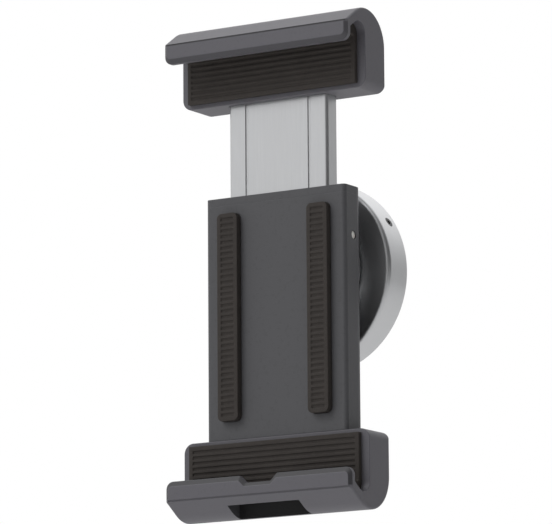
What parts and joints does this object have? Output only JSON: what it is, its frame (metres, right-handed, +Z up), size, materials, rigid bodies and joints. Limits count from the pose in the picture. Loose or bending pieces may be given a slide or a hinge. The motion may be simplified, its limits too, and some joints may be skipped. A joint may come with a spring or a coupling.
{
  "type": "wall-mounted tablet holder",
  "caption": "Wall-mounted tablet clamp with two hooked jaws, a sliding arm with a cam lock, a charging window and a swivel rosette.",
  "frame": {"origin": "on the swivel axis, on the wall plate's back face, where the wall is", "axes": "+Y points into the wall, +Z up along the clamp's length, +X to the right as seen by someone facing the tablet"},
  "size_m": [0.082, 0.05, 0.1904],
  "materials": {
    "jaw_plastic": "satin anthracite glass-filled plastic with a fine moulded grain",
    "housing_plastic": "fine-grained matt anthracite plastic",
    "anodised_aluminium": "brushed and silver anodised",
    "liner_rubber": "soft matt rubber",
    "zinc_plated_steel": "bright zinc plated",
    "black_screw_steel": "blackened steel",
    "spring_steel": "bright spring steel",
    "slide_plastic": "smooth slippery natural plastic"
  },
  "bodies": {
    "wall_mount": {"wall_plate": "zinc_plated_steel", "rosette": "anodised_aluminium", "set_screws": "black_screw_steel", "swivel_post": "zinc_plated_steel", "post_screws": "black_screw_steel", "index_ring": "zinc_plated_steel", "retainer_plate": "zinc_plated_steel", "retainer_screw": "black_screw_steel"},
    "head": {"detent_spring": "spring_steel", "swivel_collar": "anodised_aluminium", "collar_screws": "black_screw_steel", "swivel_bush": "slide_plastic", "spring_washer": "spring_steel", "rear_shell": "housing_plastic", "front_shell": "housing_plastic", "shell_screws": "black_screw_steel", "arm_bezel": "housing_plastic", "guide_strip_left": "slide_plastic", "guide_strip_right": "slide_plastic", "back_pads": "liner_rubber", "lower_jaw": "jaw_plastic", "lower_liner": "liner_rubber", "lower_jaw_screws": "black_screw_steel", "cam_pin": "zinc_plated_steel", "cam_spring": "spring_steel"},
    "arm": {"arm_channel": "anodised_aluminium", "arm_shoe": "slide_plastic", "arm_shoe_screws": "black_screw_steel", "upper_jaw": "jaw_plastic", "upper_liner": "liner_rubber", "upper_jaw_screws": "black_screw_steel"},
    "cam": {"brake_cam": "zinc_plated_steel"},
    "plunger": {"release_plunger": "slide_plastic"}
  },
  "joints": [
    {"name": "swivel", "type": "hinge", "parent": "wall_mount", "child": "head", "pos_m": [0, 0, 0], "axis": [0, -1, 0], "continuous": true, "deforming": ["detent_spring"]},
    {"name": "arm_slide", "type": "slide", "parent": "head", "child": "arm", "axis": [0, 0, 1], "range_m": [-0.0355, 0.0515]},
    {"name": "cam_release", "type": "hinge", "parent": "head", "child": "cam", "pos_m": [0.0266, -0.0294, 0.004], "axis": [0, -1, 0], "range_deg": [0, 12], "stiffness_Nm_per_rad": 0.004, "springref_deg": -20.05},
    {"name": "plunger_push", "type": "slide", "parent": "head", "child": "plunger", "axis": [-1, 0, 0], "range_m": [0, 0.0013]}
  ],
  "couplings": [
    {"joint": "plunger_push", "follows": "cam_release", "m_per_rad": 0.006206}
  ]
}
